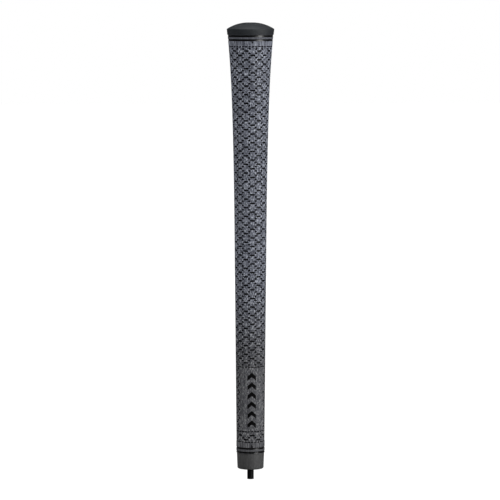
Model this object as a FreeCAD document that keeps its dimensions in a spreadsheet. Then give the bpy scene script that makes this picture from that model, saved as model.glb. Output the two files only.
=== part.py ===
import FreeCAD, Part
import math
import os
import Sketcher

# Slip-on golf grip, built the way it is moulded: a soft inner tube, two cord sheets, two outer
# rubber panels, a mouth collar, a bonded end cap, and the paint that fills the grooves.
# Millimetres. The mouth end face is at the origin, the cap is at +Z, the front panel faces -Y.

doc = FreeCAD.newDocument("golf_grip")

DIMENSIONS = (
    # the shaft bore and the soft inner tube
    ("mouth_bore_r", 6.3), ("mouth_lead_in", 0.5), ("mouth_lead_r", 6.8), ("land_end_z", 28.5),
    ("plug_floor_z", 254.8), ("head_bore_r", 7.4), ("tube_mouth_r", 7.1), ("tube_waist_r", 8.2),
    ("tube_head_r", 10.4),
    # the cord sheets
    ("cord_mouth_r", 7.5), ("cord_waist_r", 8.6), ("cord_head_r", 10.8),
    # the outside of the outer panels
    ("foot_z", 9.8), ("foot_r", 8.62), ("foot_top_z", 17.0), ("shank_z", 17.0), ("shank_r", 8.5),
    ("waist_z", 155.8), ("waist_r", 9.8), ("shoulder_z", 223.3), ("shoulder_r", 11.25),
    ("head_z", 262.8), ("head_r", 13.74), ("waist_arc", 2800.0), ("shoulder_arc", 690.0),
    # the mouth collar
    ("collar_foot_r", 7.92), ("collar_top_r", 8.3), ("collar_lip", 0.75),
    # the end cap
    ("cap_plug_r", 9.0), ("cap_skirt_r", 13.95), ("cap_rim_z", 266.2), ("cap_rim_r", 14.3),
    ("cap_top_z", 270.15), ("cap_dome_arc", 24.0), ("vent_r", 2.0),
    # the four paint rings: floor, top of the paint, lower and upper edge
    ("ring_a_floor_r", 8.25), ("ring_a_paint_r", 8.56),
    ("ring_a_low_z", 10.05), ("ring_a_high_z", 11.25),
    ("ring_b_floor_r", 8.25), ("ring_b_paint_r", 8.56),
    ("ring_b_low_z", 12.4), ("ring_b_high_z", 13.65),
    ("ring_c_floor_r", 13.15), ("ring_c_paint_r", 13.46),
    ("ring_c_low_z", 259.0), ("ring_c_high_z", 260.25),
    ("ring_d_floor_r", 13.3), ("ring_d_paint_r", 13.62),
    ("ring_d_low_z", 261.35), ("ring_d_high_z", 262.65),
    ("groove_open_r", 16.0),
    # the four fine grooves that frame the pattern fields
    ("line_a_floor_r", 8.15), ("line_a_low_z", 16.7), ("line_a_high_z", 17.3),
    ("line_b_floor_r", 8.2), ("line_b_low_z", 23.1), ("line_b_high_z", 23.7),
    ("line_c_floor_r", 8.55), ("line_c_low_z", 62.5), ("line_c_high_z", 63.1),
    ("line_d_floor_r", 12.75), ("line_d_low_z", 255.4), ("line_d_high_z", 256.0),
    # the index ticks
    ("low_tick_floor", 8.3), ("low_tick_depth", 0.26), ("low_tick_z", 13.75), ("low_tick_tall", 2.2),
    ("low_tick_half", 0.65), ("high_tick_floor", 13.1), ("high_tick_depth", 0.26), ("high_tick_z", 258.9),
    ("high_tick_tall", -1.9), ("high_tick_half", 0.5), ("tick_opening", 1.5),
    # the six paint fills of the front panel
    ("mark_first_z", 25.5), ("mark_pitch", 5.8), ("mark_half", 2.65), ("mark_stroke", 2.7),
    ("mark_rise", 2.3), ("mark_floor", 7.96), ("mark_lean", 0.0094), ("mark_opening", 1.6),
    ("skin_low_r", 8.45), ("skin_high_r", 9.75), ("skin_open_r", 14.0),
)

sheet = doc.addObject("Spreadsheet::Sheet", "dims")
for row, (alias, number) in enumerate(DIMENSIONS, start=1):
    sheet.set("A%d" % row, alias)
    sheet.set("B%d" % row, str(number))
    sheet.setAlias("B%d" % row, alias)
doc.recompute()


def size(alias):
    """A driving dimension's present value, in millimetres; "0" and a minus sign are allowed."""
    if alias == "0":
        return 0.0
    if alias.startswith("-"):
        return -float(sheet.get(alias[1:]))
    return float(sheet.get(alias))


def bound(alias):
    """The expression that ties a property to a driving dimension."""
    if alias.startswith("-"):
        return "-dims." + alias[1:]
    return "dims." + alias


def new_body(name):
    body = doc.addObject("PartDesign::Body", name)
    body.Label = name
    return body


def origin_plane(body, role):
    for feature in body.Origin.OriginFeatures:
        if feature.Role == role:
            return feature
    raise RuntimeError("no plane " + role)


def new_sketch(body, name, role="XZ_Plane"):
    sketch = body.newObject("Sketcher::SketchObject", name)
    sketch.AttachmentSupport = (origin_plane(body, role), [""])
    sketch.MapMode = "FlatFace"
    return sketch


def bulged(start, end, radius, side):
    """The arc of a given radius from start to end, bowed to the left (1) or the right (-1)."""
    chord = end - start
    half = chord.Length / 2.0
    left = FreeCAD.Vector(-chord.y, chord.x, 0).normalize()
    rise = radius - math.sqrt(radius * radius - half * half)
    middle = (start + end) * 0.5 + left * (rise * side)
    return Part.Arc(start, middle, end)


def add_outline(sketch, corners, arcs=()):
    """A closed outline through corners named by their dimensions; arcs = (edge, radius, side)."""
    points = [FreeCAD.Vector(size(x), size(y), 0) for x, y in corners]
    bows = {edge: (radius, side) for edge, radius, side in arcs}
    count = len(points)
    ends = []
    for edge in range(count):
        start = points[edge]
        end = points[(edge + 1) % count]
        if edge in bows:
            radius, side = bows[edge]
            geometry = sketch.addGeometry(bulged(start, end, size(radius), side), False)
            constraint = sketch.addConstraint(Sketcher.Constraint("Radius", geometry, size(radius)))
            sketch.setExpression("Constraints[%d]" % constraint, bound(radius))
        else:
            geometry = sketch.addGeometry(Part.LineSegment(start, end), False)
        first_is_start = sketch.getPoint(geometry, 1).distanceToPoint(start) < 1e-6
        ends.append((geometry, 1, 2) if first_is_start else (geometry, 2, 1))
    for edge in range(count):
        here = ends[edge]
        before = ends[edge - 1]
        sketch.addConstraint(Sketcher.Constraint("Coincident", before[0], before[2], here[0], here[1]))
        x, y = corners[edge]
        tie(sketch, here, "DistanceX", -2, x)
        tie(sketch, here, "DistanceY", -1, y)


def tie(sketch, vertex, kind, axis, alias):
    """Holds one coordinate of a corner at a driving dimension, or on the axis when it is 0."""
    if alias == "0":
        sketch.addConstraint(Sketcher.Constraint("PointOnObject", vertex[0], vertex[1], axis))
        return
    made = Sketcher.Constraint(kind, -1, 1, vertex[0], vertex[1], size(alias))
    index = sketch.addConstraint(made)
    sketch.setExpression("Constraints[%d]" % index, bound(alias))


def turned(body, name, sketch, angle=360.0, reverse=False):
    """Revolves a half section about the grip's own axis."""
    feature = body.newObject("PartDesign::Revolution", name)
    feature.Profile = sketch
    feature.ReferenceAxis = (sketch, ["V_Axis"])
    feature.Angle = angle
    feature.Reversed = reverse
    sketch.Visibility = False
    return feature


def turned_cut(body, name, sketch):
    """A groove cut all the way round the grip's own axis, checked to remove material."""
    doc.recompute()
    before = body.Shape.Volume
    feature = body.newObject("PartDesign::Groove", name)
    feature.Profile = sketch
    feature.ReferenceAxis = (sketch, ["V_Axis"])
    feature.Angle = 360.0
    doc.recompute()
    if not feature.Shape.Volume < before:
        raise RuntimeError(name + " removes nothing")
    return feature


def set_back(sketch, depth, height):
    """Moves a front sketch out to a depth before the axis and up to a height."""
    sketch.setExpression("AttachmentOffset.Base.y", height)
    sketch.setExpression("AttachmentOffset.Base.z", depth)


def outward_cut(body, name, sketch, depth):
    """A recess from the sketch's plane out through the front surface."""
    doc.recompute()
    before = body.Shape.Volume
    feature = body.newObject("PartDesign::Pocket", name)
    feature.Profile = sketch
    feature.Type = 0
    feature.setExpression("Length", bound(depth))
    feature.Reversed = True
    doc.recompute()
    if not feature.Shape.Volume < before:
        feature.Reversed = False
        doc.recompute()
    if not feature.Shape.Volume < before:
        raise RuntimeError(name + " removes nothing")
    return feature


def outward_pad(body, name, sketch, depth):
    """Paint standing from the sketch's plane towards the front."""
    feature = body.newObject("PartDesign::Pad", name)
    feature.Profile = sketch
    feature.setExpression("Length", bound(depth))
    doc.recompute()
    return feature


def tick_outline(sketch, which):
    half = which + "_tick_half"
    tall = which + "_tick_tall"
    add_outline(sketch, (("-" + half, "0"), (half, "0"), ("0", tall)))
    set_back(sketch, bound(which + "_tick_floor"), bound(which + "_tick_z"))


def mark_outline(sketch, step):
    """One upward chevron; each step is a pitch higher and follows the panel's taper."""
    add_outline(sketch, (
        ("-mark_half", "0"), ("0", "mark_rise"), ("mark_half", "0"),
        ("mark_half", "mark_stroke"), ("0", "mark_peak"), ("-mark_half", "mark_stroke")))
    set_back(sketch, "dims.mark_floor + %d * dims.mark_pitch * dims.mark_lean" % step,
             "dims.mark_first_z + %d * dims.mark_pitch" % step)


# The chevron's own height is its rise and its stroke together.
peak_row = len(DIMENSIONS) + 1
sheet.set("A%d" % peak_row, "mark_peak")
sheet.set("B%d" % peak_row, "=mark_rise + mark_stroke")
sheet.setAlias("B%d" % peak_row, "mark_peak")
doc.recompute()


def underlisting():
    """Soft inner tube: bore land at the mouth, widening bore, counterbore for the cap's plug."""
    body = new_body("underlisting")
    sketch = new_sketch(body, "tube_section")
    add_outline(sketch, (
        ("mouth_lead_r", "0"), ("tube_mouth_r", "0"), ("tube_mouth_r", "land_end_z"),
        ("tube_waist_r", "waist_z"), ("tube_head_r", "head_z"), ("cap_plug_r", "head_z"),
        ("cap_plug_r", "plug_floor_z"), ("head_bore_r", "plug_floor_z"),
        ("mouth_bore_r", "land_end_z"), ("mouth_bore_r", "mouth_lead_in")))
    turned(body, "tube", sketch)
    return body


def cord_sheet(name, reverse):
    """Half of the woven reinforcement that wraps the inner tube above the collar."""
    body = new_body(name)
    sketch = new_sketch(body, name + "_section")
    add_outline(sketch, (
        ("tube_mouth_r", "foot_z"), ("cord_mouth_r", "foot_z"), ("cord_mouth_r", "land_end_z"),
        ("cord_waist_r", "waist_z"), ("cord_head_r", "head_z"), ("tube_head_r", "head_z"),
        ("tube_waist_r", "waist_z"), ("tube_mouth_r", "land_end_z")))
    turned(body, name + "_wrap", sketch, 180.0, reverse)
    return body


def outer_panel(name, reverse):
    """Half of the outer rubber, with the ring grooves and the fine framing grooves."""
    body = new_body(name)
    sketch = new_sketch(body, name + "_section")
    add_outline(sketch, (
        ("cord_mouth_r", "foot_z"), ("foot_r", "foot_z"), ("foot_r", "foot_top_z"),
        ("shank_r", "shank_z"), ("waist_r", "waist_z"), ("shoulder_r", "shoulder_z"),
        ("head_r", "head_z"), ("cord_head_r", "head_z"), ("cord_waist_r", "waist_z"),
        ("cord_mouth_r", "land_end_z")),
        ((4, "waist_arc", 1), (5, "shoulder_arc", 1)))
    turned(body, name + "_wall", sketch, 180.0, reverse)
    grooves = new_sketch(body, name + "_grooves")
    for line in ("ring_a", "ring_b", "ring_c", "ring_d", "line_a", "line_b", "line_c", "line_d"):
        floor = line + "_floor_r"
        low = line + "_low_z"
        high = line + "_high_z"
        add_outline(grooves, ((floor, low), ("groove_open_r", low), ("groove_open_r", high), (floor, high)))
    turned_cut(body, name + "_groove_cut", grooves)
    return body


def front_recesses(body):
    """The recesses of the two ticks and the six marks, all in the front panel."""
    for which in ("low", "high"):
        sketch = new_sketch(body, which + "_tick_recess")
        tick_outline(sketch, which)
        outward_cut(body, which + "_tick_pocket", sketch, "tick_opening")
    for step in range(6):
        sketch = new_sketch(body, "mark_recess_%d" % (step + 1))
        mark_outline(sketch, step)
        outward_cut(body, "mark_pocket_%d" % (step + 1), sketch, "mark_opening")


def mouth_collar():
    """Plain rubber tail round the open end, with a rounded lip."""
    body = new_body("mouth_collar")
    sketch = new_sketch(body, "collar_section")
    add_outline(sketch, (
        ("tube_mouth_r", "0"), ("collar_foot_r", "0"), ("collar_top_r", "foot_z"),
        ("tube_mouth_r", "foot_z")))
    ring = turned(body, "collar_ring", sketch)
    doc.recompute()
    lip = body.newObject("PartDesign::Fillet", "collar_lip_round")
    lip.Base = (ring, [circle_edge(ring.Shape, "collar_foot_r", 0.0)])
    lip.setExpression("Radius", bound("collar_lip"))
    doc.recompute()
    return body


def circle_edge(shape, radius, height):
    """The name of the circular edge of a given radius at a given height."""
    for number, edge in enumerate(shape.Edges, start=1):
        if not hasattr(edge.Curve, "Radius"):
            continue
        if abs(edge.Curve.Radius - size(radius)) < 1e-4 and abs(edge.Curve.Center.z - height) < 1e-4:
            return "Edge%d" % number
    raise RuntimeError("no circle of " + radius)


def end_cap():
    """Domed rubber cap with a sharp rim, a plug that sits in the tube, and a vent hole."""
    body = new_body("end_cap")
    sketch = new_sketch(body, "cap_section")
    add_outline(sketch, (
        ("0", "plug_floor_z"), ("cap_plug_r", "plug_floor_z"), ("cap_plug_r", "head_z"),
        ("cap_skirt_r", "head_z"), ("cap_rim_r", "cap_rim_z"), ("0", "cap_top_z")),
        ((4, "cap_dome_arc", -1),))
    dome = turned(body, "cap_dome", sketch)
    doc.recompute()
    before = dome.Shape.Volume
    circle = new_sketch(body, "vent_circle", "XY_Plane")
    rim = Part.Circle(FreeCAD.Vector(0, 0, 0), FreeCAD.Vector(0, 0, 1), size("vent_r"))
    made = circle.addGeometry(rim, False)
    circle.addConstraint(Sketcher.Constraint("Coincident", made, 3, -1, 1))
    index = circle.addConstraint(Sketcher.Constraint("Radius", made, size("vent_r")))
    circle.setExpression("Constraints[%d]" % index, bound("vent_r"))
    vent = body.newObject("PartDesign::Pocket", "vent_hole")
    vent.Profile = circle
    vent.Type = 1
    vent.Reversed = True
    doc.recompute()
    if not vent.Shape.Volume < before:
        raise RuntimeError("the vent removes nothing")
    return body


def paint_ring(name, prefix):
    """Paint lying in one ring groove, a little below the rubber's surface."""
    body = new_body(name)
    sketch = new_sketch(body, name + "_section")
    floor = prefix + "_floor_r"
    top = prefix + "_paint_r"
    low = prefix + "_low_z"
    high = prefix + "_high_z"
    add_outline(sketch, ((floor, low), (top, low), (top, high), (floor, high)))
    turned(body, name + "_fill", sketch)
    return body


def index_tick(name, which):
    """Paint in one tick recess."""
    body = new_body(name)
    sketch = new_sketch(body, name + "_outline")
    tick_outline(sketch, which)
    outward_pad(body, name + "_fill", sketch, which + "_tick_depth")
    return body


def panel_mark(step):
    """Paint in one chevron recess, its front trimmed to follow the panel's round surface."""
    name = "panel_mark_%d" % (step + 1)
    body = new_body(name)
    sketch = new_sketch(body, name + "_outline")
    mark_outline(sketch, step)
    outward_pad(body, name + "_fill", sketch, "mark_opening")
    skin = new_sketch(body, name + "_skin")
    add_outline(skin, (
        ("skin_low_r", "shank_z"), ("skin_open_r", "shank_z"), ("skin_open_r", "waist_z"),
        ("skin_high_r", "waist_z")))
    turned_cut(body, name + "_trim", skin)
    return body


tube = underlisting()
cord_front = cord_sheet("cord_sheet_front", True)
cord_back = cord_sheet("cord_sheet_back", False)
panel_front = outer_panel("outer_panel_front", True)
front_recesses(panel_front)
panel_back = outer_panel("outer_panel_back", False)
collar = mouth_collar()
cap = end_cap()
rings = (
    paint_ring("lower_ring_1", "ring_a"),
    paint_ring("lower_ring_2", "ring_b"),
    paint_ring("upper_ring_1", "ring_c"),
    paint_ring("upper_ring_2", "ring_d"),
)
ticks = (index_tick("lower_index_tick", "low"), index_tick("upper_index_tick", "high"))
marks = tuple(panel_mark(step) for step in range(6))
doc.recompute()

for part in doc.Objects:
    for state in part.State:
        if state in ("Invalid", "Error"):
            raise RuntimeError(part.Name + " is " + state)

NODES = (tube, cord_front, cord_back, panel_front, panel_back, collar, cap) + rings + ticks + marks
os.makedirs("parts", exist_ok=True)
for part in NODES:
    if part.Shape.isNull() or not part.Shape.isValid() or len(part.Shape.Solids) != 1:
        raise RuntimeError(part.Label + " is not one sound solid")
    part.Shape.exportStep("parts/" + part.Label + ".step")
    print(part.Label, round(part.Shape.Volume, 2), part.Shape.BoundBox)
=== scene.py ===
import math
import random

import bmesh
import bpy
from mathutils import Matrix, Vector
from mathutils.geometry import delaunay_2d_cdt


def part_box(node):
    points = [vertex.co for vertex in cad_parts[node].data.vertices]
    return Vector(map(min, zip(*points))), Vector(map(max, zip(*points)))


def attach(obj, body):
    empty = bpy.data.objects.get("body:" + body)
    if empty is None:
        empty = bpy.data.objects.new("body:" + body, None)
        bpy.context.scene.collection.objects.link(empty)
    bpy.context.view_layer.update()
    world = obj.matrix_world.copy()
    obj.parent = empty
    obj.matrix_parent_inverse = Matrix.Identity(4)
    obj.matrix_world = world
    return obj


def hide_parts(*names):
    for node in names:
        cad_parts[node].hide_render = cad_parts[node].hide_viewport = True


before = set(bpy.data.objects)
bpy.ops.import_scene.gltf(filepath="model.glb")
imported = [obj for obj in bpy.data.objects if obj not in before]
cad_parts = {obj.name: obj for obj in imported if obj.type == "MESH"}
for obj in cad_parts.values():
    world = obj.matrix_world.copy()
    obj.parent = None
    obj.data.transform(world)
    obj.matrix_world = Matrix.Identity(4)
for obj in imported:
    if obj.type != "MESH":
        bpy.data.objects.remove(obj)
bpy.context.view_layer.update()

bpy.ops.object.select_all(action="DESELECT")

# ---------------------------------------------------------------------------------------------
# Outer panels. Two half shells of grey rubber with chopped cotton cord mixed in, pressed in a
# mould that leaves rows of small recesses and a plain field at the front. They are vulcanised
# to the layers inside and meet in a parting line at the left and the right.

# heights and outer radii of the rubber, from the foot up to the head
panel_low, panel_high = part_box("outer_panel_front")
FOOT_Z, FOOT_R = panel_low[2], 0.00862
SHANK_Z, SHANK_R = 0.0173, 0.0085
WAIST_Z, WAIST_R = 0.1558, 0.0098
SHOULDER_Z, SHOULDER_R = 0.2233, 0.01125
HEAD_Z, HEAD_R = panel_high[2], 0.01374
FOOT_STEP = 0.0006                            # height over which the foot narrows to the shank
WAIST_BEND, SHOULDER_BEND = 2.8, 0.69         # radii of the two hollow arcs above the waist

# outer radii of the cord sheets, which the panels lie on
LAND_Z, CORD_MOUTH_R = 0.0285, 0.0075
CORD_WAIST_R, CORD_HEAD_R = 0.0086, 0.0108

# the pattern's layout
DASH_PITCH = 0.00401                          # between columns of dashes, round the grip
ROW_PITCH = 0.005215                          # between dashes of one column, up the grip
FIRST_COLUMN, FIRST_ROW = 0.0003, 0.25056
PATTERN_FIELDS = ((0.01745, 0.02295), (0.02385, 0.06235), (0.06325, 0.25525))
FIELD_MARGIN = 0.0002
LEFT_EDGE, RIGHT_EDGE = -0.0076, 0.0078       # the plain front field
PLAIN_LOW, PLAIN_HIGH = 0.0237, 0.0625

# the flat sheets
MM = 1000                                     # they are laid out in millimetres
FLAT_NEAR = 1e-5                              # points nearer than this count as one
FULL_SINK = 0.00042                           # the depth at which the sink attribute is 1
BAND_STEP = 0.001                             # between points of a line across the sheet


def flare(z, z0, r0, z1, r1, bend):
    """The radius at a height on the shallow hollow arc between two stations."""
    along, out = z1 - z0, r1 - r0
    chord = math.hypot(along, out)
    rise = math.sqrt(bend * bend - chord * chord / 4)
    centre_z = (z0 + z1) / 2 - out / chord * rise
    centre_r = (r0 + r1) / 2 + along / chord * rise
    return centre_r - math.sqrt(bend * bend - (z - centre_z) ** 2)


def panel_radius(z):
    """The outer radius of the rubber at a height."""
    if z <= SHANK_Z - FOOT_STEP:
        return FOOT_R
    if z <= SHANK_Z:
        return FOOT_R + (SHANK_R - FOOT_R) * (z - SHANK_Z + FOOT_STEP) / FOOT_STEP
    if z <= WAIST_Z:
        return SHANK_R + (WAIST_R - SHANK_R) * (z - SHANK_Z) / (WAIST_Z - SHANK_Z)
    if z <= SHOULDER_Z:
        return flare(z, WAIST_Z, WAIST_R, SHOULDER_Z, SHOULDER_R, WAIST_BEND)
    return flare(z, SHOULDER_Z, SHOULDER_R, HEAD_Z, HEAD_R, SHOULDER_BEND)


def inner_radius(z):
    """The radius of the panel's inside, which lies on the cord sheets."""
    if z <= LAND_Z:
        return CORD_MOUTH_R
    if z <= WAIST_Z:
        return CORD_MOUTH_R + (CORD_WAIST_R - CORD_MOUTH_R) * (z - LAND_Z) / (WAIST_Z - LAND_Z)
    return CORD_WAIST_R + (CORD_HEAD_R - CORD_WAIST_R) * (z - WAIST_Z) / (HEAD_Z - WAIST_Z)


def wrapped(s, z, sink=0.0):
    """A place on the panel from its distance round the front, its height and its depth."""
    around = s / panel_radius(z)
    r = panel_radius(z) - sink
    return (r * math.sin(around), -r * math.cos(around), z)


def capsule(half, tall, steps):
    """A flat round-ended outline, anticlockwise, with points along its straight sides."""
    straight = half - tall
    points = []
    for turn, side in ((-0.5, 1), (0.5, -1)):
        for step in range(steps + 1):
            angle = math.pi * (turn + step / steps)
            points.append((side * straight + tall * math.cos(angle), tall * math.sin(angle)))
        points.append((side * straight / 3, side * tall))
        points.append((-side * straight / 3, side * tall))
    return points


def oval(half, tall, steps):
    """A flat oval outline, anticlockwise."""
    return [(half * math.cos(2 * math.pi * k / steps), tall * math.sin(2 * math.pi * k / steps))
            for k in range(steps)]


def divided(corners, longest):
    """A closed outline with its long sides divided."""
    points = []
    for k, (x0, z0) in enumerate(corners):
        x1, z1 = corners[(k + 1) % len(corners)]
        parts = max(1, math.ceil(math.hypot(x1 - x0, z1 - z0) / longest))
        for part in range(parts):
            points.append((x0 + (x1 - x0) * part / parts, z0 + (z1 - z0) * part / parts))
    return points


def shrunk(outline, by):
    """An outline moved inwards by a set distance, less at very sharp corners."""
    sharpest = 0.35
    out = []
    for k, (x, z) in enumerate(outline):
        x0, z0 = outline[k - 1]
        x1, z1 = outline[(k + 1) % len(outline)]
        a = Vector((x - x0, z - z0)).normalized()
        b = Vector((x1 - x, z1 - z)).normalized()
        n = Vector((-a.y, a.x)) + Vector((-b.y, b.x))
        n /= max(sharpest, n.length_squared / 2)
        out.append((x + n.x * by, z + n.y * by))
    return out


class FlatSheet:
    """The panel rolled out flat: points with a depth and a finish, and the lines that join them."""

    def __init__(self):
        self.places = []
        self.sinks = []
        self.bands = []
        self.lines = []

    def point(self, s, z, sink=0.0, band=0.0):
        self.places.append(Vector((s * MM, z * MM)))
        self.sinks.append(sink)
        self.bands.append(band)
        return len(self.places) - 1

    def loop(self, outline, centre, sink, band=0.0, tilt=0.0):
        """A closed line at one depth."""
        c, d = math.cos(tilt), math.sin(tilt)
        made = [self.point(centre[0] + x * c - z * d, centre[1] + x * d + z * c, sink, band)
                for x, z in outline]
        self.lines += [(made[k - 1], made[k]) for k in range(len(made))]

    def recess(self, outlines, centre, sinks, tilt=0.0):
        """Nested closed lines: a brim, a lip just inside it and a floor."""
        for outline, sink in zip(outlines, sinks):
            self.loop(outline, centre, sink, 0.0, tilt)

    def across(self, z, sink, width):
        """A line over the whole width, in the finish of the plain bands."""
        count = max(2, math.ceil(2 * width / BAND_STEP))
        made = [self.point(-width + 2 * width * k / count, z, sink, 1.0) for k in range(count + 1)]
        self.lines += [(made[k], made[k + 1]) for k in range(count)]

    def surface(self, name, inside_only=False):
        """Triangles through all the points and lines, rolled round the grip."""
        places, _, faces, origins, _, _ = delaunay_2d_cdt(
            self.places, self.lines, [], int(inside_only), FLAT_NEAR)
        sinks = [max((self.sinks[i] for i in own), default=0.0) for own in origins]
        bands = [max((self.bands[i] for i in own), default=0.0) for own in origins]
        mesh = bpy.data.meshes.new(name)
        mesh.from_pydata([wrapped(p.x / MM, p.y / MM, sink) for p, sink in zip(places, sinks)],
                         [], faces)
        sink_layer = mesh.attributes.new("sink", "FLOAT", "POINT")
        band_layer = mesh.attributes.new("band", "FLOAT", "POINT")
        sink_layer.data.foreach_set("value", [s / FULL_SINK for s in sinks])
        band_layer.data.foreach_set("value", bands)
        return mesh


SEAM_SPARE = 0.0007            # how far the flat sheet passes the parting line before it is cut
SEAM_KEEP = 0.001              # no dot or framing dash is centred nearer to the parting line


def seam(z):
    """The distance round the panel from its middle to the parting line."""
    return math.pi / 2 * panel_radius(z)


def sheet_edge(z):
    """Half the flat sheet's width at a height."""
    return seam(z) + SEAM_SPARE


def blocked(front, s, z, reach):
    """True outside the pattern's fields and, on the front panel, in the plain field."""
    if not any(low < z - FIELD_MARGIN and z + FIELD_MARGIN < high for low, high in PATTERN_FIELDS):
        return True
    if front and PLAIN_LOW < z < PLAIN_HIGH:
        return LEFT_EDGE - reach < s < RIGHT_EDGE + reach
    return False


def wandered(chance, s, z):
    """A place moved a little at random."""
    wander = 4e-5
    return (s + chance.uniform(-wander, wander), z + chance.uniform(-wander, wander))


LIP_SINK = 0.00006
DASH_HALF, DASH_SHORTEST, DASH_DEPTH = 0.0016, 0.0012, 0.00058
DASH_RINGS = ((0.0, 0.00056), (0.00004, 0.00052), (0.00011, 0.00045))   # (drawn in, half height)
DASH_TILT = 0.03
DASH_SEAM_GAP, DASH_PLAIN_GAP = 0.0004, 0.0002
DASH_END_ROOM, DASH_SIDE_ROOM = 0.0001, 0.00035


def press_dash(sheet, front, chance, s, z):
    """A dash, cut short where it would enter the plain front field or cross the parting line."""
    start, stop = s - DASH_HALF, s + DASH_HALF
    if front and PLAIN_LOW < z < PLAIN_HIGH:
        if s < 0:
            stop = min(stop, LEFT_EDGE - DASH_PLAIN_GAP)
        else:
            start = max(start, RIGHT_EDGE + DASH_PLAIN_GAP)
    start = max(start, DASH_SEAM_GAP - seam(z))
    stop = min(stop, seam(z) - DASH_SEAM_GAP)
    tip = start - DASH_END_ROOM if s < 0 else stop + DASH_END_ROOM
    if stop - start <= DASH_SHORTEST:
        return
    if blocked(front, tip, z + DASH_SIDE_ROOM, 0.0) or blocked(front, tip, z - DASH_SIDE_ROOM, 0.0):
        return
    centre = wandered(chance, (start + stop) / 2, z)
    deep = DASH_DEPTH * chance.uniform(0.85, 1.0)
    tilt = chance.uniform(-DASH_TILT, DASH_TILT)
    outlines = [capsule((stop - start) / 2 - drawn, tall, 4) for drawn, tall in DASH_RINGS]
    sheet.recess(outlines, centre, (0.0, LIP_SINK, deep), tilt)


# plain points between the recesses, in millimetres from a dash's middle
FILLERS = ((0, 2.607), (-1.2, 2.607), (1.2, 2.607), (-0.6, 1.304), (0.6, 1.304),
           (-0.6, 3.911), (0.6, 3.911))
FILLER_ROOM = 0.0004


def lay_fillers(sheet, front, s, z):
    """Plain points that keep the triangles between the recesses small."""
    for across, up in FILLERS:
        p, q = s + across / MM, z + up / MM
        if abs(p) < sheet_edge(q) and not blocked(front, p, q, FILLER_ROOM):
            sheet.point(p, q)


DOT_DEPTH = 0.00050
DOT_RINGS = ((0.00080, 0.00062), (0.00076, 0.00058), (0.00068, 0.0005))   # (half, half height)
DOT_UPS = (1.304, 3.911)                      # in millimetres above a dash's middle
DOT_END_ROOM, DOT_SIDE_ROOM = 0.0007, 0.00045


def press_dots(sheet, front, chance, s, z):
    """The two dots beside a dash, halfway to the next column."""
    for up in DOT_UPS:
        p, q = s + DASH_PITCH / 2, z + up / MM
        if abs(p) > seam(q) - SEAM_KEEP:
            continue
        if blocked(front, p, q + DOT_SIDE_ROOM, DOT_END_ROOM) \
                or blocked(front, p, q - DOT_SIDE_ROOM, DOT_END_ROOM):
            continue
        centre = wandered(chance, p, q)
        deep = DOT_DEPTH * chance.uniform(0.8, 1.0)
        sheet.recess([oval(half, tall, 10) for half, tall in DOT_RINGS], centre,
                     (0.0, LIP_SINK, deep))


def press_pattern(sheet, front, chance):
    """Columns of dashes, every other one half a row higher, with dots between them."""
    for column in range(-6, 7):
        s = FIRST_COLUMN + column * DASH_PITCH
        for row in range(-2, 47):
            z = FIRST_ROW - row * ROW_PITCH + (column % 2) * ROW_PITCH / 2
            if FOOT_Z < z < HEAD_Z:
                press_dash(sheet, front, chance, s, z)
                lay_fillers(sheet, front, s, z)
                press_dots(sheet, front, chance, s, z)


FRAME_ROWS = (0.0170, 0.0234, 0.0628, 0.2557)
FRAME_RINGS = ((0.0009, 0.0004), (0.00087, 0.00037), (0.00079, 0.00029))   # (half, half height)
FRAME_SINKS = (0.0, 0.00005, FULL_SINK)


def press_framing(sheet):
    """The framing grooves, pressed as rows of short dashes."""
    outlines = [capsule(half, tall, 3) for half, tall in FRAME_RINGS]
    for z in FRAME_ROWS:
        for step in range(-11, 12):
            s = FIRST_COLUMN + step * DASH_PITCH / 2
            if abs(s) < seam(z) - SEAM_KEEP:
                sheet.recess(outlines, (s, z), FRAME_SINKS)


PAINT_GROOVES = ((0.01005, 0.01125), (0.0124, 0.01365), (0.2590, 0.26025), (0.26135, 0.26265))
GROOVE_WALL, GROOVE_DEPTH = 0.00008, 0.00037
FOOT_CHAMFER = 0.00012
BAND_LINES = (0.0118, 0.0145, 0.0155, 0.0163, 0.2564, 0.2574, 0.2584, 0.2608)
TICK_SPANS = ((0.0138, 0.0161), (0.2568, 0.2591))


def lay_bands(sheet, front):
    """The plain bands at the two ends, with the four paint grooves."""
    for low, high in PAINT_GROOVES:
        for z, sink in ((low, 0.0), (low + GROOVE_WALL, GROOVE_DEPTH),
                        (high - GROOVE_WALL, GROOVE_DEPTH), (high, 0.0)):
            sheet.across(z, sink, sheet_edge(z))
    levels = [(FOOT_Z, FOOT_CHAMFER), (FOOT_Z + FOOT_CHAMFER, 0.0)]
    levels += [(z, 0.0) for z in BAND_LINES + (HEAD_Z,)]
    for z, sink in levels:
        if not (front and any(low < z < high for low, high in TICK_SPANS)):
            sheet.across(z, sink, sheet_edge(z))
            continue
        # single points here, so that no line runs through a tick
        for k in range(-22, 23):
            if abs(k) > 1 and abs(k / MM) < sheet_edge(z):
                sheet.point(k / MM, z, 0.0, 1.0)


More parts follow.
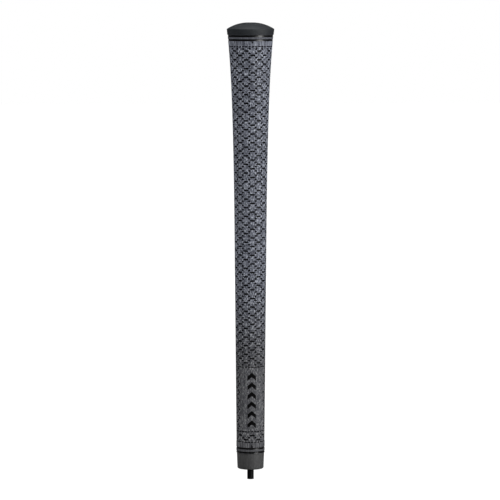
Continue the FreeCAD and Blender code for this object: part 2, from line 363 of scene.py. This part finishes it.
MARK_TALL, MARK_HALF = 0.0050, 0.00265
MARK_STROKE, MARK_RISE = 0.0027, 0.0023
MARK_FIRST, MARK_PITCH, MARK_COUNT = 0.0255, 0.0058, 6
MARK_OUTLINE = [(-MARK_HALF, 0), (0, MARK_RISE), (MARK_HALF, 0), (MARK_HALF, MARK_STROKE),
                (0, MARK_TALL), (-MARK_HALF, MARK_STROKE)]
MARK_STEPS = ((0.0, 0.0), (0.00005, 0.00005), (0.00012, 0.00034))         # (drawn in, depth)
LOW_TICK = [(-0.00065, 0), (0.00065, 0), (0, 0.0022)]
HIGH_TICK = [(0.0005, 0), (-0.0005, 0), (0, -0.0019)]
LOW_TICK_Z, HIGH_TICK_Z = 0.01375, 0.2589
TICK_STEPS = ((0.0, 0.0), (0.00008, 0.0003))                              # (drawn in, depth)
PLAIN_BAND = 0.3                              # the plain field keeps most of its flecks
PLAIN_COLUMNS = (LEFT_EDGE, -0.0067, -0.0057, -0.0047, -0.0037,
                 0.0037, 0.0047, 0.0057, 0.0067, RIGHT_EDGE)
PLAIN_ROW = 0.0012


def lay_front_field(sheet):
    """The plain front field with its six painted recesses, and the two index ticks."""
    z = PLAIN_LOW + 0.0006
    while z < PLAIN_HIGH - 0.0003:
        for s in PLAIN_COLUMNS:
            sheet.point(s, z, 0.0, PLAIN_BAND)
        z += PLAIN_ROW
    for step in range(MARK_COUNT):
        start = (0.0, MARK_FIRST + step * MARK_PITCH)
        sides = divided(MARK_OUTLINE, 0.0009)
        for by, sink in MARK_STEPS:
            sheet.loop(shrunk(sides, by), start, sink, PLAIN_BAND)
    for outline, height in ((LOW_TICK, LOW_TICK_Z), (HIGH_TICK, HIGH_TICK_Z)):
        sides = divided(outline, 0.0008)
        for by, sink in TICK_STEPS:
            sheet.loop(shrunk(sides, by), (0.0, height), sink, 1.0)


SKIN_MERGE = 2e-7
INSIDE_NEAR = 1e-6
INSIDE_PER_RADIAN = 8          # millimetres of flat inside for each radian round the grip
INSIDE_COLUMNS, INSIDE_ROW = 12, 0.006


def add_inner_wall(mesh):
    """Closes a half shell: its open edges are drawn in to the inner radius and the inside is laid."""
    bpy.ops.mesh.select_all(action="SELECT")
    bpy.ops.mesh.remove_doubles(threshold=SKIN_MERGE)
    bpy.ops.mesh.select_mode(type="EDGE")
    bpy.ops.mesh.select_all(action="DESELECT")
    bpy.ops.mesh.select_non_manifold(use_wire=False, use_multi_face=False, use_non_contiguous=False,
                                     use_verts=False)
    bpy.ops.mesh.extrude_edges_move()
    bpy.ops.object.mode_set(mode="OBJECT")
    rim = [v.index for v in mesh.vertices if v.select]
    flat = []
    for index in rim:
        place = mesh.vertices[index].co
        around = math.atan2(place.x, -place.y)
        place.x, place.y = (inner_radius(place.z) * math.sin(around),
                            -inner_radius(place.z) * math.cos(around))
        flat.append(Vector((around * INSIDE_PER_RADIAN, place.z * MM)))
    order = {index: k for k, index in enumerate(rim)}
    lines = [(order[e.vertices[0]], order[e.vertices[1]]) for e in mesh.edges if e.select]
    z = FOOT_Z + 0.003
    while z < HEAD_Z - 0.002:
        for k in range(1, INSIDE_COLUMNS):
            across = math.pi * INSIDE_PER_RADIAN * (k - INSIDE_COLUMNS / 2) / INSIDE_COLUMNS
            flat.append(Vector((across, z * MM)))
        z += INSIDE_ROW
    places, _, faces, origins, _, _ = delaunay_2d_cdt(flat, lines, [], 1, INSIDE_NEAR)
    # known holds the rim point of each place, or a number below -1 for a new one
    known = [min((i for i in own if i < len(rim)), default=-1) for own in origins]
    first = len(mesh.vertices)
    loose = [k for k, i in enumerate(known) if i < 0]
    mesh.vertices.add(len(loose))
    for step, k in enumerate(loose):
        around, z = places[k].x / INSIDE_PER_RADIAN, places[k].y / MM
        mesh.vertices[first + step].co = (inner_radius(z) * math.sin(around),
                                          -inner_radius(z) * math.cos(around), z)
        known[k] = -2 - step
    corner = [rim[i] if i >= 0 else first - 2 - i for i in known]
    build = bmesh.new()
    build.from_mesh(mesh)
    build.verts.ensure_lookup_table()
    for face in faces:
        build.faces.new([build.verts[corner[i]] for i in face])
    build.to_mesh(mesh)
    build.free()
    bpy.ops.object.mode_set(mode="EDIT")
    bpy.ops.mesh.select_mode(type="VERT")
    bpy.ops.mesh.select_all(action="SELECT")
    bpy.ops.mesh.normals_make_consistent(inside=False)
    bpy.ops.object.mode_set(mode="OBJECT")


def linked(name, mesh):
    """A new active, selected object for a mesh."""
    piece = bpy.data.objects.new(name, mesh)
    bpy.context.collection.objects.link(piece)
    bpy.context.view_layer.objects.active = piece
    piece.select_set(True)
    return piece


def outer_panel(name, front):
    """One half shell, laid flat, rolled, cut at the parting plane and closed."""
    chance = random.Random(11 if front else 12)
    sheet = FlatSheet()
    press_pattern(sheet, front, chance)
    press_framing(sheet)
    lay_bands(sheet, front)
    if front:
        lay_front_field(sheet)
    mesh = sheet.surface(name)
    panel = linked(name, mesh)
    bpy.ops.object.mode_set(mode="EDIT")
    bpy.ops.mesh.select_all(action="SELECT")
    bpy.ops.mesh.bisect(plane_co=(0, 0, 0), plane_no=(0, 1, 0), clear_outer=True)
    add_inner_wall(mesh)
    if not front:
        for vertex in mesh.vertices:
            vertex.co.x, vertex.co.y = -vertex.co.x, -vertex.co.y
    bpy.ops.object.shade_smooth_by_angle(angle=math.radians(32))
    panel.select_set(False)
    return panel


def add_group(name, inputs, outputs):
    """A shader node group with named sockets; returns it with its two end nodes."""
    tree = bpy.data.node_groups.new(name, "ShaderNodeTree")
    for label, kind, value in inputs:
        socket = tree.interface.new_socket(label, in_out="INPUT", socket_type=kind)
        socket.default_value = value
    for label, kind in outputs:
        tree.interface.new_socket(label, in_out="OUTPUT", socket_type=kind)
    return tree, tree.nodes.new("NodeGroupInput"), tree.nodes.new("NodeGroupOutput")


def feed(tree, socket, value):
    """Sets a socket's own value, or links another node's output to it."""
    if isinstance(value, (int, float, tuple)):
        socket.default_value = value
    else:
        tree.links.new(value, socket)


def math_node(tree, operation, *values):
    node = tree.nodes.new("ShaderNodeMath")
    node.operation = operation
    for slot, value in enumerate(values):
        feed(tree, node.inputs[slot], value)
    return node.outputs[0]


def stretched_noise(tree, scale, stretch, detail, rough):
    """Noise on Object coordinates; a stretch under 1 draws it out up the grip."""
    where = tree.nodes.new("ShaderNodeTexCoord")
    mapping = tree.nodes.new("ShaderNodeMapping")
    mapping.inputs["Scale"].default_value = (1, 1, stretch)
    noise = tree.nodes.new("ShaderNodeTexNoise")
    noise.inputs["Scale"].default_value = scale
    noise.inputs["Detail"].default_value = detail
    noise.inputs["Roughness"].default_value = rough
    tree.links.new(where.outputs["Object"], mapping.inputs["Vector"])
    tree.links.new(mapping.outputs["Vector"], noise.inputs["Vector"])
    return noise.outputs["Fac"]


def ramp(tree, source, low, high):
    """0 at low and 1 at high, with a soft step between."""
    node = tree.nodes.new("ShaderNodeMapRange")
    node.interpolation_type = "SMOOTHSTEP"
    node.inputs["From Min"].default_value = low
    node.inputs["From Max"].default_value = high
    tree.links.new(source, node.inputs["Value"])
    return node.outputs["Result"]


def mixed_colour(tree, mask, a, b, blend="MIX"):
    node = tree.nodes.new("ShaderNodeMix")
    node.data_type = "RGBA"
    node.blend_type = blend
    for slot, value in ((0, mask), (6, a), (7, b)):
        feed(tree, node.inputs[slot], value)
    return node.outputs[2]


# Corded rubber: grey rubber with pale and dark cotton ends that lie mostly up and down.
cord_group, cord_in, cord_out = add_group(
    "cotton_flecks",
    (("Rubber", "NodeSocketColor", (0.08, 0.085, 0.1, 1)),
     ("Cotton", "NodeSocketColor", (0.3, 0.32, 0.36, 1)),
     ("Pit", "NodeSocketColor", (0.01, 0.01, 0.013, 1)),
     ("Flecks", "NodeSocketFloat", 1.0),
     ("Streaks", "NodeSocketFloat", 0.0)),
    (("Color", "NodeSocketColor"), ("Height", "NodeSocketFloat")))
tufts = stretched_noise(cord_group, 1600, 0.5, 2.0, 0.6)
fibres = stretched_noise(cord_group, 4200, 0.2, 1.0, 0.5)
specks = stretched_noise(cord_group, 5200, 0.6, 1.0, 0.5)
strands = stretched_noise(cord_group, 1900, 0.03, 2.0, 0.6)
ends = math_node(cord_group, "ADD", math_node(cord_group, "MULTIPLY", fibres, 0.35),
                 math_node(cord_group, "SUBTRACT", tufts, 0.175))
tint = cord_in.outputs["Rubber"]
for source, low, high, amount, strength, colour in (
        (ends, 0.53, 0.66, "Flecks", 0.9, "Cotton"), (ends, 0.47, 0.35, "Flecks", 0.65, "Pit"),
        (strands, 0.48, 0.70, "Streaks", 0.8, "Cotton"), (strands, 0.52, 0.34, "Streaks", 0.8, "Pit")):
    shown = math_node(cord_group, "MULTIPLY", ramp(cord_group, source, low, high),
                      cord_in.outputs[amount])
    shown = math_node(cord_group, "MULTIPLY", shown, strength)
    tint = mixed_colour(cord_group, shown, tint, cord_in.outputs[colour])
cord_group.links.new(tint, cord_out.inputs["Color"])
bumps = math_node(cord_group, "ADD", ends, math_node(cord_group, "MULTIPLY", specks, 0.6))
cord_group.links.new(bumps, cord_out.inputs["Height"])


def new_material(name):
    material = bpy.data.materials.new(name)
    material.use_nodes = True
    tree = material.node_tree
    return material, tree, tree.nodes["Principled BSDF"]


def placed(tree, group, **values):
    """A group in a material, with its named inputs set; _ stands for a space."""
    node = tree.nodes.new("ShaderNodeGroup")
    node.node_tree = group
    for label, value in values.items():
        node.inputs[label.replace("_", " ")].default_value = value
    return node


def bumped(tree, shader, height, strength, distance):
    bump = tree.nodes.new("ShaderNodeBump")
    bump.inputs["Strength"].default_value = strength
    bump.inputs["Distance"].default_value = distance
    tree.links.new(height, bump.inputs["Height"])
    tree.links.new(bump.outputs["Normal"], shader.inputs["Normal"])


corded, tree, shader = new_material("corded_rubber")
cotton = placed(tree, cord_group, Rubber=(0.132, 0.141, 0.173, 1), Cotton=(0.52, 0.55, 0.63, 1),
                Pit=(0.012, 0.013, 0.018, 1))
band = tree.nodes.new("ShaderNodeAttribute")
band.attribute_name = "band"
sink = tree.nodes.new("ShaderNodeAttribute")
sink.attribute_name = "sink"
spot = tree.nodes.new("ShaderNodeTexCoord")
upward = tree.nodes.new("ShaderNodeSeparateXYZ")
tree.links.new(spot.outputs["Object"], upward.inputs["Vector"])
height = upward.outputs["Z"]

# beyond the inner ring of each pair the rubber is wiped, and shows fewer flecks and streaks
crown = ramp(tree, height, 0.2601, 0.2603)
tail = math_node(tree, "SUBTRACT", 1.0, ramp(tree, height, 0.0123, 0.0125))
wiped = math_node(tree, "ADD", crown, tail)
loose = math_node(tree, "SUBTRACT", 1.0, math_node(tree, "MULTIPLY", wiped, 0.75))
streaked = math_node(tree, "MULTIPLY", band.outputs["Fac"], 0.8)
flecked = math_node(tree, "SUBTRACT", 1.0, streaked)
tree.links.new(math_node(tree, "MULTIPLY", flecked, loose), cotton.inputs["Flecks"])
tree.links.new(math_node(tree, "MULTIPLY", streaked, loose), cotton.inputs["Streaks"])

# the lower part is a little browner and darker, and the recesses are painted near black by their
# depth: partly their own black rubber, partly painted shade
height_tone = mixed_colour(tree, ramp(tree, height, 0.055, 0.125), (0.69, 0.655, 0.585, 1), (1, 1, 1, 1))
# the rubber beyond the inner upper ring is a little darker too
height_tone = mixed_colour(tree, crown, height_tone, (0.74, 0.73, 0.70, 1))
toned = mixed_colour(tree, 1.0, cotton.outputs["Color"], height_tone, "MULTIPLY")
# painted shade in the recesses, laid over the black of their rubber
recess_black_and_shade = mixed_colour(tree, ramp(tree, sink.outputs["Fac"], 0.02, 0.18), toned,
                    (0.003, 0.003, 0.004, 1))
tree.links.new(recess_black_and_shade, shader.inputs["Base Color"])
rough = math_node(tree, "MULTIPLY_ADD", cotton.outputs["Height"], 0.15, 0.46)
tree.links.new(rough, shader.inputs["Roughness"])
shader.inputs["Specular IOR Level"].default_value = 0.16
bumped(tree, shader, cotton.outputs["Height"], 0.8, 0.00009)

for name, front in (("outer_panel_front", True), ("outer_panel_back", False)):
    panel = outer_panel("rubber_" + name, front)
    panel.data.materials.append(corded)
    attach(panel, "root")
    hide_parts(name)


# ---------------------------------------------------------------------------------------------
# End cap. A separately moulded dome of black rubber, bonded into the top of the grip. Its rim
# is sharp, its skirt narrows to the body, and a vent hole runs through its middle.

def turned(name, outline, rounds, steps):
    """A closed profile of (radius, height) turned about the axis; rounds = (corner, size)."""
    mesh = bpy.data.meshes.new(name)
    edges = [(k, (k + 1) % len(outline)) for k in range(len(outline))]
    mesh.from_pydata([(r, 0, z) for r, z in outline], edges, [])
    piece = linked(name, mesh)
    for corner, size in sorted(rounds, reverse=True):
        r, z = outline[corner]
        bpy.ops.object.mode_set(mode="EDIT")
        bpy.ops.mesh.select_all(action="DESELECT")
        bpy.ops.object.mode_set(mode="OBJECT")
        for vertex in mesh.vertices:
            vertex.select = (vertex.co - Vector((r, 0, z))).length < 1e-7
        bpy.ops.object.mode_set(mode="EDIT")
        bpy.ops.mesh.bevel(offset=size, segments=4, affect="VERTICES")
        bpy.ops.object.mode_set(mode="OBJECT")
    bpy.ops.object.mode_set(mode="EDIT")
    bpy.ops.mesh.select_all(action="SELECT")
    bpy.ops.mesh.spin(steps=steps, angle=2 * math.pi, center=(0, 0, 0), axis=(0, 0, 1))
    bpy.ops.mesh.select_all(action="SELECT")
    bpy.ops.mesh.remove_doubles(threshold=1e-7)
    bpy.ops.mesh.normals_make_consistent(inside=False)
    bpy.ops.object.mode_set(mode="OBJECT")
    bpy.ops.object.shade_smooth_by_angle(angle=math.radians(35))
    piece.select_set(False)
    return piece


cap_low, cap_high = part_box("end_cap")
PLUG_R, SKIRT_R, VENT_R = 0.009, 0.01395, 0.002
CAP_RIM_R, CAP_RIM_Z, CAP_TOP_Z = cap_high[0], 0.2662, 0.27015
DOME_BEND, DOME_POINTS, DOME_STOP_R = 0.024, 17, 0.0042


def dome_height(r):
    """The dome's height on the arc from the rim to the axis."""
    across, rise = CAP_RIM_R, CAP_TOP_Z - CAP_RIM_Z
    chord = math.hypot(across, rise)
    back = math.sqrt(DOME_BEND ** 2 - chord ** 2 / 4)
    centre_r = across / 2 - rise / chord * back
    centre_z = (CAP_RIM_Z + CAP_TOP_Z) / 2 - across / chord * back
    return centre_z + math.sqrt(DOME_BEND ** 2 - (r - centre_r) ** 2)


# where the dome would pass the CAD cap's top it is eased down, most near the vent
lift = min(0.0, cap_high[2] - 0.00002 - dome_height(VENT_R))
profile = [(PLUG_R, cap_low[2]), (PLUG_R, HEAD_Z), (SKIRT_R, HEAD_Z), (CAP_RIM_R, CAP_RIM_Z)]
for k in range(1, DOME_POINTS + 1):
    r = CAP_RIM_R - (CAP_RIM_R - DOME_STOP_R) * k / DOME_POINTS
    profile.append((r, dome_height(r) + lift * k / DOME_POINTS))
# a shallow ring runs round the vent
for r, sunk in ((0.0040, 0.00022), (0.0037, 0.00022), (0.0035, 0.0), (0.0028, 0.00003)):
    profile.append((r, dome_height(r) + lift - sunk))
profile += [(VENT_R, cap_high[2] - 0.00005), (VENT_R, cap_low[2])]
cap = turned("domed_cap", profile, ((3, 0.00008), (2, 0.0001), (len(profile) - 2, 0.0003)), 128)

# Moulded rubber: a fine grain, faint mottling and a little pale dust that settles unevenly.
grain_group, grain_in, grain_out = add_group(
    "moulded_grain",
    (("Base", "NodeSocketColor", (0.02, 0.02, 0.02, 1)),
     ("Dust", "NodeSocketColor", (0.2, 0.2, 0.2, 1)),
     ("Dust Amount", "NodeSocketFloat", 0.2),
     ("Roughness", "NodeSocketFloat", 0.6)),
    (("Color", "NodeSocketColor"), ("Roughness", "NodeSocketFloat"),
     ("Height", "NodeSocketFloat")))
fine = stretched_noise(grain_group, 7000, 1.0, 3.0, 0.6)
blotch = stretched_noise(grain_group, 260, 0.5, 3.0, 0.55)
wisps = stretched_noise(grain_group, 1500, 0.35, 2.0, 0.6)
dusty = math_node(grain_group, "MULTIPLY", ramp(grain_group, wisps, 0.45, 0.8),
                  grain_in.outputs["Dust Amount"])
dusted = mixed_colour(grain_group, dusty, grain_in.outputs["Base"], grain_in.outputs["Dust"])
shade = math_node(grain_group, "MULTIPLY_ADD", blotch, 0.35, 0.825)
toned = mixed_colour(grain_group, 1.0, dusted, shade, "MULTIPLY")
grain_group.links.new(toned, grain_out.inputs["Color"])
rough = math_node(grain_group, "MULTIPLY_ADD", fine, 0.2, grain_in.outputs["Roughness"])
grain_group.links.new(rough, grain_out.inputs["Roughness"])
grain_group.links.new(math_node(grain_group, "ADD", fine, blotch), grain_out.inputs["Height"])


def moulded(name, base, dust, dust_amount, roughness, bump, depth, specular=0.5):
    """A material with the moulded grain all over."""
    material, tree, shader = new_material(name)
    grain = placed(tree, grain_group, Base=base, Dust=dust, Dust_Amount=dust_amount,
                   Roughness=roughness)
    tree.links.new(grain.outputs["Color"], shader.inputs["Base Color"])
    tree.links.new(grain.outputs["Roughness"], shader.inputs["Roughness"])
    shader.inputs["Specular IOR Level"].default_value = specular
    bumped(tree, shader, grain.outputs["Height"], bump, depth)
    return material


cap_rubber = moulded("cap_rubber", (0.0195, 0.022, 0.025, 1), (0.06, 0.066, 0.072, 1), 0.3,
                     0.50, 0.35, 0.00004, 0.3)
cap.data.materials.append(cap_rubber)
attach(cap, "root")
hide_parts("end_cap")


# ---------------------------------------------------------------------------------------------
# Paint rings. Gloss black paint run into the four ring grooves, a little below the rubber, with
# a meniscus that climbs to the groove's edges.

RING_SHY, RING_BELOW = 0.00003, 0.00009       # short of the CAD ring's ends, under the rubber
RING_THICK, MENISCUS = 0.0003, 0.00008
PAINT_BLACK, PAINT_DUST = (0.0010, 0.0010, 0.0012, 1), (0.006, 0.006, 0.007, 1)

ring_paint = moulded("gloss_paint", PAINT_BLACK, PAINT_DUST, 0.15, 0.22, 0.15, 0.00003, 0.4)
for name in ("lower_ring_1", "lower_ring_2", "upper_ring_1", "upper_ring_2"):
    low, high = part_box(name)
    z0, z1 = low[2] + RING_SHY, high[2] - RING_SHY
    middle = (z0 + z1) / 2
    top = panel_radius(middle) - RING_BELOW
    floor = top - RING_THICK
    bow = [(top - MENISCUS * math.cos(math.pi * t) ** 2, middle + (z1 - z0) * t)
           for t in (-0.5, -0.38, -0.2, 0.0, 0.2, 0.38, 0.5)]
    ring = turned("paint_" + name, [(floor, z0)] + bow + [(floor, z1)], (), 144)
    ring.data.materials.append(ring_paint)
    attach(ring, "root")
    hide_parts(name)


# ---------------------------------------------------------------------------------------------
# Index ticks and front marks. Black paint that has dried duller than in the rings, filled into
# two small wedges and six plain chevrons, and following the panel's round surface.

FILL_SINK, FILL_THICK = 0.00010, 0.0002
TICK_SHY, MARK_SHY = 0.00004, 0.00006         # between the paint and the recess's wall


def paint_fill(name, outline, height, shy):
    """A thin skin of paint on the panel's curve, given its thickness by a modifier."""
    sheet = FlatSheet()
    sheet.loop(shrunk(divided(outline, 0.0007), shy), (0.0, height), FILL_SINK)
    piece = linked(name, sheet.surface(name, True))
    bpy.ops.object.mode_set(mode="EDIT")
    bpy.ops.mesh.select_all(action="SELECT")
    bpy.ops.mesh.normals_make_consistent(inside=False)
    bpy.ops.object.mode_set(mode="OBJECT")
    bpy.ops.object.modifier_add(type="SOLIDIFY")
    solid = piece.modifiers[-1]
    solid.thickness = FILL_THICK
    bpy.ops.object.modifier_apply(modifier=solid.name)
    bpy.ops.object.shade_smooth_by_angle(angle=math.radians(35))
    piece.select_set(False)
    return piece


fills = [("lower_index_tick", LOW_TICK, LOW_TICK_Z, TICK_SHY),
         ("upper_index_tick", HIGH_TICK, HIGH_TICK_Z, TICK_SHY)]
fills += [("panel_mark_%d" % (k + 1), MARK_OUTLINE, MARK_FIRST + k * MARK_PITCH, MARK_SHY)
          for k in range(MARK_COUNT)]
mark_paint = moulded("matte_paint", PAINT_BLACK, PAINT_DUST, 0.15, 0.55, 0.3, 0.00003, 0.08)
for name, outline, height, shy in fills:
    fill = paint_fill("paint_" + name, outline, height, shy)
    fill.data.materials.append(mark_paint)
    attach(fill, "root")
    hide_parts(name)


# ---------------------------------------------------------------------------------------------
# Mouth collar. The plain tail of darker rubber below the paint rings, with a rounded lip where
# the mould closes.

COLLAR_TOP_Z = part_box("mouth_collar")[1][2]
COLLAR_INNER_R, COLLAR_LIP = 0.0071, 0.00075

collar_profile = [(COLLAR_INNER_R, 0.0), (0.00792, 0.0), (0.00828, 0.0093), (0.0083, COLLAR_TOP_Z),
                  (COLLAR_INNER_R, COLLAR_TOP_Z)]
collar = turned("mouth_collar_skin", collar_profile, ((1, COLLAR_LIP),), 144)
collar_rubber = moulded("collar_rubber", (0.062, 0.062, 0.063, 1), (0.2, 0.2, 0.2, 1), 0.3,
                        0.48, 0.5, 0.00005)
collar.data.materials.append(collar_rubber)
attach(collar, "root")
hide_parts("mouth_collar")


# ---------------------------------------------------------------------------------------------
# Inner layers. The soft black tube that grips the shaft shows at the mouth; the woven cotton
# sheets round it are sealed in.

tube_rubber = moulded("tube_rubber", (0.03, 0.03, 0.031, 1), (0.12, 0.12, 0.12, 1), 0.4,
                      0.5, 0.5, 0.00005)
woven, tree, shader = new_material("cord_fabric")
cotton = placed(tree, cord_group, Rubber=(0.25, 0.25, 0.26, 1), Cotton=(0.5, 0.5, 0.5, 1),
                Pit=(0.06, 0.06, 0.06, 1), Streaks=0.8)
tree.links.new(cotton.outputs["Color"], shader.inputs["Base Color"])
shader.inputs["Roughness"].default_value = 0.85
bumped(tree, shader, cotton.outputs["Height"], 0.8, 0.0001)
for name, material in (("underlisting", tube_rubber), ("cord_sheet_front", woven),
                       ("cord_sheet_back", woven)):
    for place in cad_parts[name].material_slots:
        place.material = material


# ---------------------------------------------------------------------------------------------
# Stage. A thin black rod runs up the bore and holds the grip just over a plain white floor,
# which glows for the camera and is clear from below.

FLOOR_Z, FLOOR_SIZE = -0.0066, 12
ROD_R, ROD_LONG = 0.002, 0.2606

bpy.ops.mesh.primitive_plane_add(size=FLOOR_SIZE, location=(0, 0, FLOOR_Z))
floor = bpy.context.object
floor.name = "studio_floor"
floor_white, tree, shader = new_material("floor_white")
shader.inputs["Base Color"].default_value = (0.03, 0.03, 0.03, 1)
shader.inputs["Roughness"].default_value = 1.0
shader.inputs["Emission Color"].default_value = (1, 1, 1, 1)
path = tree.nodes.new("ShaderNodeLightPath")
glow = math_node(tree, "MULTIPLY_ADD", path.outputs["Is Camera Ray"], 1.0, 0.05)
tree.links.new(glow, shader.inputs["Emission Strength"])
underside = tree.nodes.new("ShaderNodeNewGeometry")
see_through = tree.nodes.new("ShaderNodeBsdfTransparent")
one_sided = tree.nodes.new("ShaderNodeMixShader")
tree.links.new(underside.outputs["Backfacing"], one_sided.inputs[0])
tree.links.new(shader.outputs["BSDF"], one_sided.inputs[1])
tree.links.new(see_through.outputs["BSDF"], one_sided.inputs[2])
tree.links.new(one_sided.outputs["Shader"], tree.nodes["Material Output"].inputs["Surface"])
floor.data.materials.append(floor_white)
floor.select_set(False)

bpy.ops.mesh.primitive_cylinder_add(vertices=48, radius=ROD_R, depth=ROD_LONG,
                                    location=(0, 0, FLOOR_Z + ROD_LONG / 2))
rod = bpy.context.object
rod.name = "display_rod"
bpy.ops.object.transform_apply(location=True)
rod_black, tree, shader = new_material("rod_black")
shader.inputs["Base Color"].default_value = (0.003, 0.003, 0.003, 1)
shader.inputs["Roughness"].default_value = 0.6
shader.inputs["Specular IOR Level"].default_value = 0.2
rod.data.materials.append(rod_black)
bpy.ops.object.shade_smooth_by_angle(angle=math.radians(40))
rod.select_set(False)

world = bpy.data.worlds.new("studio")
bpy.context.scene.world = world
world.use_nodes = True
backdrop = world.node_tree.nodes["Background"]
path = world.node_tree.nodes.new("ShaderNodeLightPath")
glow = math_node(world.node_tree, "MULTIPLY_ADD", path.outputs["Is Camera Ray"], 0.95, 0.05)
backdrop.inputs["Color"].default_value = (1, 1, 1, 1)
world.node_tree.links.new(glow, backdrop.inputs["Strength"])

VIEW_TURN = -5.0                              # degrees that the camera stands round to the left
GRIP_MIDDLE_Z = 0.13


def soft_box(name, azimuth, distance, height, width, tall, power):
    """A soft area light aimed at the middle of the grip; azimuth 0 is the camera's, + is right."""
    turn = math.radians(azimuth + VIEW_TURN)
    place = Vector((distance * math.sin(turn), -distance * math.cos(turn), height))
    aim = Vector((0, 0, GRIP_MIDDLE_Z)) - place
    bpy.ops.object.light_add(type="AREA", location=place)
    lamp = bpy.context.object
    lamp.name = name
    lamp.data.shape = "RECTANGLE"
    lamp.data.size = width
    lamp.data.size_y = tall
    lamp.data.energy = power
    lamp.rotation_euler = aim.to_track_quat("-Z", "Y").to_euler()
    lamp.select_set(False)
    return lamp


soft_box("key_light", 51, 1.0, 0.30, 0.42, 1.0, 12.0)
fill_lamp = soft_box("fill_light", -80, 1.2, 0.30, 0.6, 1.0, 10.5)
fill_lamp.visible_glossy = False
soft_box("top_light", 0, 0.15, 1.3, 0.8, 0.8, 11.0)
back_lamp = soft_box("back_light", 172, 1.2, 0.35, 0.7, 1.0, 14.0)
back_lamp.visible_glossy = False

CAMERA_FAR, CAMERA_HEIGHT, CAMERA_DIP = 1.75, 0.287, 5.028     # the dip is in degrees
CAMERA_ASIDE = -0.0003
turn = math.radians(VIEW_TURN)
camera_x = CAMERA_FAR * math.sin(turn) + CAMERA_ASIDE * math.cos(turn)
camera_y = -CAMERA_FAR * math.cos(turn) + CAMERA_ASIDE * math.sin(turn)
bpy.ops.object.camera_add(location=(camera_x, camera_y, CAMERA_HEIGHT),
                          rotation=(math.radians(90 - CAMERA_DIP), 0, turn))
camera = bpy.context.object
camera.data.sensor_width = 36
camera.data.lens = 209.38
camera.data.clip_start = 0.01
bpy.context.scene.camera = camera
bpy.context.scene.view_settings.view_transform = "Standard"
